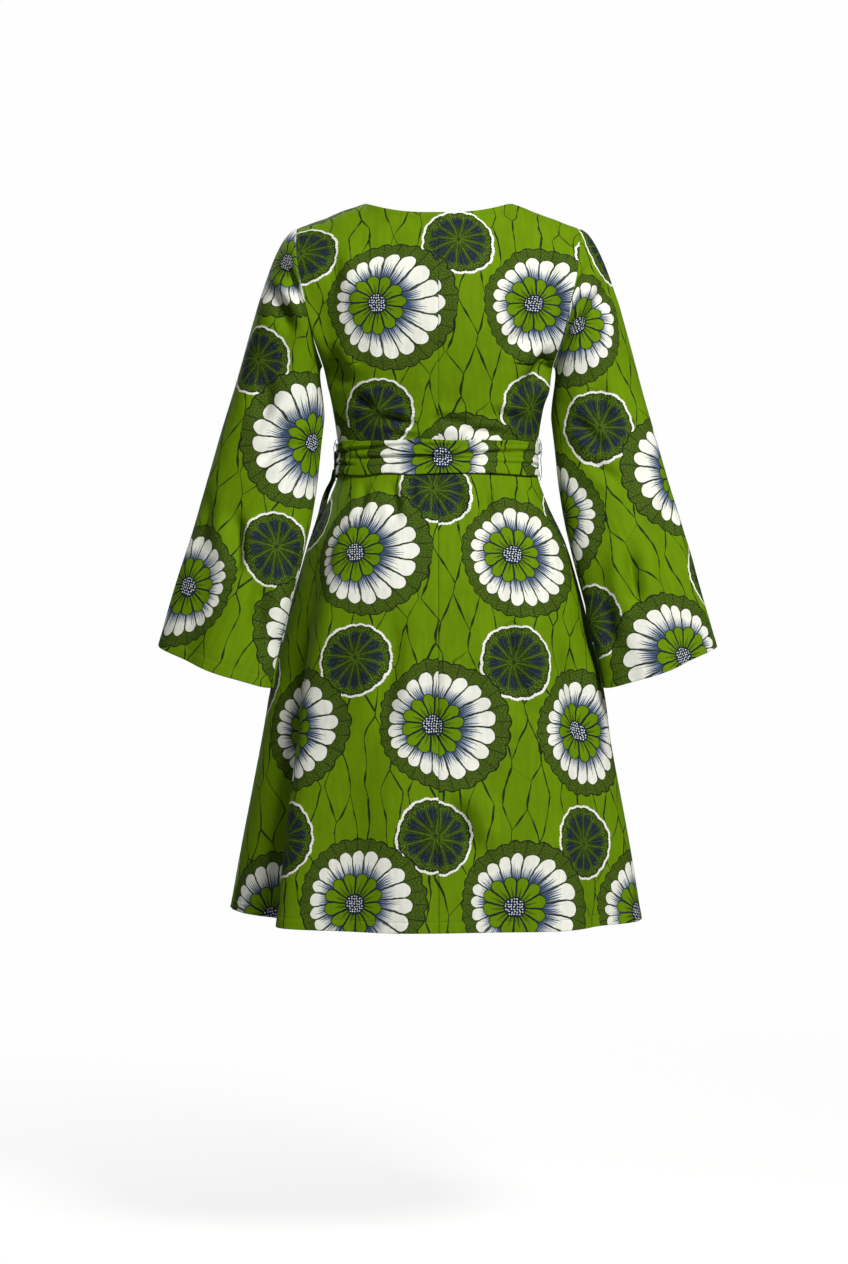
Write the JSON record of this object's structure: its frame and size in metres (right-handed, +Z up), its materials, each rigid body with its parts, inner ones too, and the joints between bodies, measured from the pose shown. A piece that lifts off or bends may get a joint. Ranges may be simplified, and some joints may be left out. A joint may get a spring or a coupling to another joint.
{
  "type": "wrap dress",
  "caption": "Knee-length wrap dress in green flower-print cotton with long bell sleeves, a V front, flared skirt and tied belt.",
  "frame": {"origin": "midway between the two neck points of the shoulder seams, where the wearer's shoulders hold the dress", "axes": "+Z up the body, -Y towards the front of the dress, +X towards the wearer's left"},
  "size_m": [0.8018, 0.4287, 1.0361],
  "materials": {
    "print_cotton": "matt with a slight sheen, printed",
    "thread": "matt"
  },
  "bodies": {
    "root": {"back_bodice_left": "print_cotton", "back_bodice_right": "print_cotton", "front_bodice_left": "print_cotton", "front_bodice_right": "print_cotton", "back_skirt_left": "print_cotton", "back_skirt_right": "print_cotton", "front_skirt_left": "print_cotton", "front_skirt_right": "print_cotton", "sleeve_left": "print_cotton", "sleeve_right": "print_cotton", "belt_band": "print_cotton", "belt_knot": "print_cotton", "belt_tail_back": "print_cotton", "belt_tail_front": "print_cotton", "belt_carrier_left": "thread", "belt_carrier_right": "thread"}
  },
  "joints": []
}
